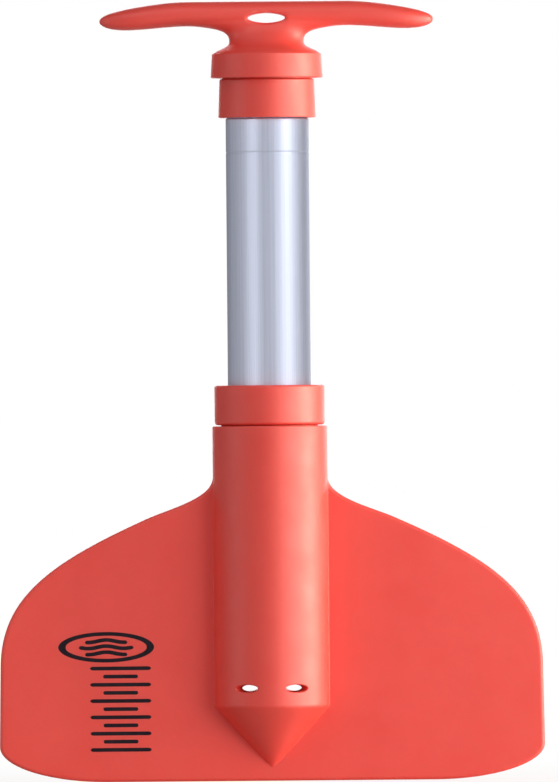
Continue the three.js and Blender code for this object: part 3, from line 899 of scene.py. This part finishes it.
def build_lock(prefix, tube, body):
    """Plug, cross pin, eccentric ring, washer and screw under a tube's foot."""
    plug = span(f"{prefix}_plug")
    ring = span(f"{prefix}_lock_ring")
    washer = span(f"{prefix}_lock_washer")
    screw = span(f"{prefix}_lock_screw")
    pin = pin_place(f"{prefix}_plug_pin")
    inside = tube.r - TUBE_WALL - 0.15
    flange_top = tube.bottom - PLUG.gap
    flange_low = flange_top - PLUG.flange
    stub = STUB[prefix]
    web = pin.z + PLUG.web

    corners = [
        (0, flange_low), (plug.r, flange_low, 0.5), (plug.r, flange_top, 0.3), (inside, flange_top),
        (inside, plug.top, 0.6), (inside - PLUG.wall, plug.top, 0.4), (inside - PLUG.wall, web, 1),
        (0, web),
    ]
    made = lathe(f"{prefix}_lock_plug", corners)
    boss = [(0, plug.bottom), (stub, plug.bottom, 0.4), (stub, flange_low + 1), (0, flange_low + 1)]
    combine(made, [lathe("boss", boss, x=screw.x, steps=MEDIUM)], "UNION")
    way_r, way_top = LOCK_BOLT.shank + LOCK_BOLT.play, tube.bottom + 5
    way = [(0, plug.bottom - 1), (way_r, plug.bottom - 1), (way_r, way_top), (0, way_top)]
    cuts = [
        lathe("screw_way", way, x=screw.x, steps=COARSE),
        bar_along_y("pin_way", -inside - 2, inside + 2, pin.z, pin.r + PIN_PLAY),
    ]
    place(combine(made, cuts), body, "grey_nylon", GREY_NYLON, f"{prefix}_plug")

    made = bar_along_y(f"{prefix}_cross_pin", pin.y0, pin.y1, pin.z, pin.r, edge=0.35)
    place(made, body, "steel", STEEL, f"{prefix}_plug_pin")

    corners = [(0, ring.bottom), (ring.r, ring.bottom, 1.0), (ring.r, ring.top, 1.0), (0, ring.top)]
    bore = stub + 0.2
    hole = [(0, ring.bottom - 1), (bore, ring.bottom - 1), (bore, ring.top + 1), (0, ring.top + 1)]
    made = combine(lathe(f"{prefix}_lock_cam", corners), [lathe("hole", hole, x=screw.x, steps=MEDIUM)])
    place(made, f"{prefix}_lock_ring", "nylon", NYLON, f"{prefix}_lock_ring")

    eye = LOCK_BOLT.shank + 0.25
    section = [(washer.r, washer.bottom, 0.25), (washer.r, washer.top, 0.15)]
    section += [(eye, washer.top, 0.1), (eye, washer.bottom, 0.1)]
    made = lathe(f"{prefix}_washer", section, closed=True, steps=MEDIUM, x=washer.x)
    place(made, body, "steel", STEEL, f"{prefix}_lock_washer")

    head_top = screw.bottom + LOCK_BOLT.head
    corners = [
        (0, screw.bottom), (screw.r, screw.bottom, 0.9), (screw.r, head_top, 0.2),
        (LOCK_BOLT.shank, head_top), (LOCK_BOLT.shank, screw.top, 0.6), (0, screw.top),
    ]
    made = lathe(f"{prefix}_lock_bolt", corners, steps=COARSE, x=screw.x)
    combine(made, cross_recess(screw.x, 0, screw.bottom, LOCK_BOLT.slot))
    place(made, body, "steel", STEEL, f"{prefix}_lock_screw")


# ---- T grip

BAR = Sizes(half=76.7, height=5.6, depth=9.5, top=358.0, droop=3.1, droop_from=36.0)
BAR.blunt, BAR.square = 7.5, 2.5  # how square the bar is at its ends, and in its section
SKIRT = Sizes(top=334.0, r_top=25.1, wall=2.6, roof=331.5, bottom=322.9)
HUB = Sizes(r=19.2, bottom=323.2)
RIB = Sizes(count=6, thick=1.8, bottom=325.9, bury=0.8)
SPIGOT = Sizes(bottom=311.0, core=10.0, roof=328.5)
LANYARD = Sizes(z=350.4, width=8.7, height=2.35)
# The neck's half width and half depth from the skirt up into the bar, at each height.
NECK_WIDTH = (
    (334, 24.65), (335.2, 22.9), (336.5, 20.1), (337.6, 18.1), (338.6, 17.35), (340, 17.15), (341.6, 17.45),
    (343, 18.4), (344.2, 20.2), (345.2, 22.9), (346.1, 26.6), (347.4, 31.5), (353, 34),
)
NECK_DEPTH = (
    (334, 24.65), (335.2, 22.6), (336.5, 19.4), (337.8, 16.6), (339, 14.9), (340.5, 13.4), (342, 12.2),
    (344, 10.7), (346, 9.6), (348.5, 8.6), (353, 6),
)


def bar_field(p):
    """Signed distance, about, to the grip's bar: a long rounded body whose ends droop."""
    x, y, z = p.T
    t = np.clip((np.abs(x) - BAR.droop_from) / (BAR.half - BAR.droop_from), 0, 1)
    centre = BAR.top - BAR.height - BAR.droop * t * t * (3 - 2 * t)
    u, v, w = np.abs(x) / BAR.half, np.abs(y) / BAR.depth, np.abs(z - centre) / BAR.height
    n = BAR.square
    section = np.maximum((v**n + w**n) ** (2 / n), 1e-6)
    value = u**BAR.blunt + section - 1
    across = 2 * (v**n + w**n + 1e-9) ** (2 / n - 1)
    slope = np.sqrt(
        (BAR.blunt * u ** (BAR.blunt - 1) / BAR.half) ** 2
        + (across * v ** (n - 1) / BAR.depth) ** 2
        + (across * w ** (n - 1) / BAR.height) ** 2
    )
    return value / np.maximum(slope, 0.05)


def neck_field(p):
    """Signed distance, about, to the neck: ovals that change with height."""
    x, y, z = p.T
    width, depth = curve(z, NECK_WIDTH), curve(z, NECK_DEPTH)
    reach = np.sqrt((x / width) ** 2 + (y / depth) ** 2)
    scale = np.maximum(reach, 0.2) / np.maximum(np.sqrt((x / width**2) ** 2 + (y / depth**2) ** 2), 1e-3)
    sides = (reach - 1) * np.minimum(scale, 40)
    lean = np.hypot(1, np.clip((curve(z + 0.1, NECK_WIDTH) - curve(z - 0.1, NECK_WIDTH)) / 0.2, -3, 3))
    return np.maximum(sides / lean, np.maximum(z - 352, SKIRT.top - 1.2 - z))


def lanyard_field(p):
    """Signed distance, about, to the oval hole through the middle of the bar."""
    x, _, z = p.T
    u, v = np.abs(x) / LANYARD.width, np.abs(z - LANYARD.z) / LANYARD.height
    value = u**1.75 + v**1.9 - 1
    slope = np.hypot(1.75 * u**0.75 / LANYARD.width, 1.9 * v**0.9 / LANYARD.height)
    return value / np.maximum(slope, 0.08)


def grip_field(p):
    """Signed distance, about, to the bar and neck with the lanyard hole through them."""
    body = smooth_min(bar_field(p), neck_field(p), 2.2)
    return -smooth_min(-body, lanyard_field(p), 1.3)


def build_grip():
    """The T grip: bar and neck over a skirt, a hub with ribs round the tube, and a spigot inside it."""
    top = skin("grip_top", grip_field, (-78.5, -26, 331.8), (78.5, 26, 359.5), 0.85)
    inside = SKIRT.r_top - SKIRT.wall
    tube_seat = INNER.r + 0.15
    spigot = INNER.r - TUBE_WALL - 0.15
    corners = [
        (0, SKIRT.top), (SKIRT.r_top, SKIRT.top, 0.35), (GRIP.back, SKIRT.bottom, 0.55),
        (GRIP.back - SKIRT.wall, SKIRT.bottom, 0.4), (inside, SKIRT.roof, 0.6),
        (HUB.r, SKIRT.roof, 0.6), (HUB.r, HUB.bottom, 0.4), (tube_seat, HUB.bottom, 0.4),
        (tube_seat, INNER.top + 0.3), (spigot, INNER.top + 0.3), (spigot, SPIGOT.bottom, 0.6),
        (SPIGOT.core, SPIGOT.bottom, 0.4), (SPIGOT.core, SPIGOT.roof, 0.6), (0, SPIGOT.roof),
    ]
    made = lathe("t_grip_body", corners)
    rib_top = SKIRT.roof + 0.5
    rib_centre = (0, -(inside + HUB.r) / 2, (RIB.bottom + rib_top) / 2)
    rib_size = (RIB.thick, inside - HUB.r + 2 * RIB.bury, rib_top - RIB.bottom)
    ribs = []
    for i in range(RIB.count):
        ribs.append(turned_about_z(box(f"rib_{i}", rib_centre, rib_size), 360 / RIB.count * i))
    combine(made, ribs, "UNION")
    combine(made, [top], "UNION")
    screw = pin_place("grip_screw")
    cuts = [
        bar_along_y("head_way", HUB.r + 0.1, GRIP.back + 2, screw.z, GRIP_BOLT.head_way),
        bar_along_y("shank_way", SPIGOT.core - 1, HUB.r + 1, screw.z, GRIP_BOLT.shank + 0.2),
    ]
    place(combine(made, cuts), "inner_shaft", "orange_plastic", ORANGE, "t_grip")

    build_grip_bolt(screw)


def build_grip_bolt(screw):
    """The screw in the back of the skirt, with a rounded head."""
    seat = screw.y1 - GRIP_BOLT.head
    turn = np.arange(COARSE) * 2 * math.pi / COARSE
    profile = [
        (screw.y0, GRIP_BOLT.point), (screw.y0 + 0.7, GRIP_BOLT.shank), (seat, GRIP_BOLT.shank),
        (seat, screw.r), (screw.y1 - 0.7, screw.r), (screw.y1 - 0.2, screw.r - 0.35),
        (screw.y1, screw.r - 1.1),
    ]
    rings = [[(r * math.cos(t), y, screw.z + r * math.sin(t)) for t in turn] for y, r in profile]
    made = loft("grip_bolt", rings)
    combine(made, cross_recess(0, screw.y1, screw.z, GRIP_BOLT.slot, along_y=True))
    place(made, "inner_shaft", "steel", STEEL, "grip_screw")


# ---- assembly

build_blade()
build_tip_float()
build_mark()
build_socket_collar()
build_wiper("socket_lip_seal", "socket_wiper", "blade", OUTER.r + LIP_PLAY)
build_bush("lower_slide_bush", "lower_bush", OUTER.r, OUTER.r + BUSH_PLAY + BUSH_WALL, SOCKET.step, 1.9)
build_outer_tube()
build_lock("outer", OUTER, "outer_shaft")
build_tube_collar()
build_wiper("shaft_lip_seal", "tube_wiper", "outer_shaft", INNER.r + LIP_PLAY)
build_bush("upper_slide_bush", "upper_bush", INNER.r, OUTER.r - TUBE_WALL - BUSH_PLAY, OUTER.top, 1.5)
build_inner_tube()
build_lock("inner", INNER, "inner_shaft")
build_shaft_float()
build_grip()


# ---- studio

TUBES = ("outer_tube_shell", "inner_tube_shell")
SURROUND = Sizes(light=0.38, reflected=0.15)
FLOOR = Sizes(z=-0.0006, reach=40.0, near=0.12, far=0.7, fade=0.8, reflected=0.42)
VIEW = Sizes(distance=9.0, seen_height=0.3592, x=0.0044, roll=0.5)
WARM = (1, 0.96, 0.87)
WHITE = (1, 1, 1)
# Each light's name, azimuth, elevation, distance, width, height, watts and colour, in degrees and metres.
PLASTIC_LIGHTS = (
    ("key", 84, 3, 1.5, 0.6, 1.2, 26, (1, 0.95, 0.77)),
    ("front_fill", 43, 4, 1.5, 0.8, 1.2, 10.3, (1, 0.89, 0.82)),
    ("top_fill", -15, 46, 1.6, 0.9, 0.9, 3.3, (1, 0.9, 0.86)),
    ("left_fill", -72, 5, 1.5, 0.5, 1.2, 2.3, (1, 0.85, 0.85)),
    ("back", 172, 6, 1.5, 1.8, 1.2, 24, WHITE),
    ("under", 78, -34, 1.5, 0.8, 0.6, 6.5, WARM),
)
TUBE_LIGHTS = (
    ("tube_key", 51, 16, 1.5, 0.85, 1.2, 11.3, WHITE),
    ("tube_left", -42, 10, 1.5, 0.7, 1.2, 5.9, WHITE),
    ("tube_front", 2, 8, 1.6, 1.0, 1.2, 0.9, WHITE),
    ("tube_side", -100, 0, 1.5, 1.2, 1.2, 1.5, WHITE),
    ("tube_edge", 95, 0, 1.5, 0.8, 1.2, 1.1, WHITE),
    ("tube_back", 150, 0, 1.5, 0.5, 1.2, 2.8, WHITE),
)


def studio_world():
    """White behind the object, a soft grey light all round, and a darker surround in what it reflects."""
    g = Graph("studio", bpy.data.worlds)
    bpy.context.scene.world = g.owner
    path = g.node("ShaderNodeLightPath").outputs
    strength = g.spread(path["Is Glossy Ray"], 0.0, 1.0, SURROUND.light, SURROUND.reflected)
    lit = g.node("ShaderNodeBackground", Color=(1, 1, 1, 1), Strength=strength).outputs[0]
    seen = g.node("ShaderNodeBackground", Color=(1, 1, 1, 1), Strength=1.0).outputs[0]
    mix = g.node("ShaderNodeMixShader", i0=path["Is Camera Ray"], i1=lit, i2=seen)
    g.join(mix.outputs[0], g.tree.nodes["World Output"].inputs["Surface"])


def studio_floor():
    """A pale floor that fades into the white surround, and is clear from below."""
    reach = FLOOR.reach
    corners = [(-reach, -reach), (reach, -reach), (reach, reach), (-reach, reach)]
    mesh = bpy.data.meshes.new("floor")
    mesh.from_pydata([(x, y, FLOOR.z) for x, y in corners], [], [(0, 1, 2, 3)])
    floor = bpy.data.objects.new("floor", mesh)
    bpy.context.scene.collection.objects.link(floor)
    g = Graph("pale_floor")
    away = g.node("ShaderNodeVectorMath", {"operation": "LENGTH"}, i0=g.place).outputs["Value"]
    tone = g.spread(g.noise(14.0, 3.0), 0.3, 0.7, 0.9, 0.93)
    seen = g.node("ShaderNodeLightPath").outputs["Is Camera Ray"]
    tone = g.math("MULTIPLY", tone, g.spread(seen, 0.0, 1.0, FLOOR.reflected, 1.0))
    grey = g.node("ShaderNodeCombineColor", Red=tone, Green=tone, Blue=tone).outputs[0]
    pale = g.node("ShaderNodeBsdfDiffuse", Color=grey).outputs[0]
    white = g.node("ShaderNodeEmission", Color=(1, 1, 1, 1), Strength=1.0).outputs[0]
    clear = g.node("ShaderNodeBsdfTransparent").outputs[0]
    glow = g.math("MULTIPLY", seen, g.spread(away, FLOOR.near, FLOOR.far, FLOOR.fade, 1.0))
    fade = g.node("ShaderNodeMixShader", i0=glow, i1=pale, i2=white).outputs[0]
    below = g.node("ShaderNodeNewGeometry").outputs["Backfacing"]
    shadow = g.node("ShaderNodeLightPath").outputs["Is Shadow Ray"]
    side = g.node("ShaderNodeMixShader", i0=g.math("MAXIMUM", below, shadow), i1=fade, i2=clear)
    g.join(side.outputs[0], g.tree.nodes["Material Output"].inputs["Surface"])
    mesh.materials.append(g.owner)


def light_group(name, only_tubes):
    """The pieces a light reaches: either the two tubes, or everything else."""
    group = bpy.data.collections.new(name)
    for made in bpy.context.scene.objects:
        if made.type == "MESH" and (made.name in TUBES) == only_tubes:
            group.objects.link(made)
    return group


def softbox(group, name, azimuth, elevation, distance, width, height, watts, tint):
    """An area light aimed at the middle of the paddle. Azimuth 0 is at the camera, and 90 at +X."""
    low, high = cad_box
    centre = (low + high) / 2
    a, e = math.radians(azimuth), math.radians(elevation)
    away = Vector((math.sin(a) * math.cos(e), -math.cos(a) * math.cos(e), math.sin(e)))
    light = bpy.data.lights.new(name, "AREA")
    light.shape = "RECTANGLE"
    light.size, light.size_y = width, height
    light.energy = watts
    light.color = tint
    made = bpy.data.objects.new(name, light)
    made.location = centre + away * distance
    made.rotation_euler = away.to_track_quat("Z", "Y").to_euler()
    made.visible_camera = False
    made.light_linking.receiver_collection = group
    bpy.context.scene.collection.objects.link(made)


def studio_camera():
    """A long lens level with the middle of the paddle, so that it is seen almost without perspective."""
    camera = bpy.data.cameras.new("camera")
    camera.sensor_width = 36.0
    camera.lens = camera.sensor_width * VIEW.distance / VIEW.seen_height
    camera.clip_start, camera.clip_end = 0.1, 100
    made = bpy.data.objects.new("camera", camera)
    middle = (cad_box[0].z + cad_box[1].z) / 2
    made.location = (VIEW.x, -VIEW.distance, middle)
    made.rotation_euler = (math.radians(90), math.radians(VIEW.roll), 0)
    bpy.context.scene.collection.objects.link(made)
    bpy.context.scene.camera = made


studio_world()
studio_floor()
tubes = light_group("tubes", True)
all_but_tubes = light_group("all_but_tubes", False)
for light in PLASTIC_LIGHTS:
    softbox(all_but_tubes, *light)
for light in TUBE_LIGHTS:
    softbox(tubes, *light)
studio_camera()
bpy.context.scene.view_settings.view_transform = "Standard"
bpy.context.scene.view_settings.look = "None"
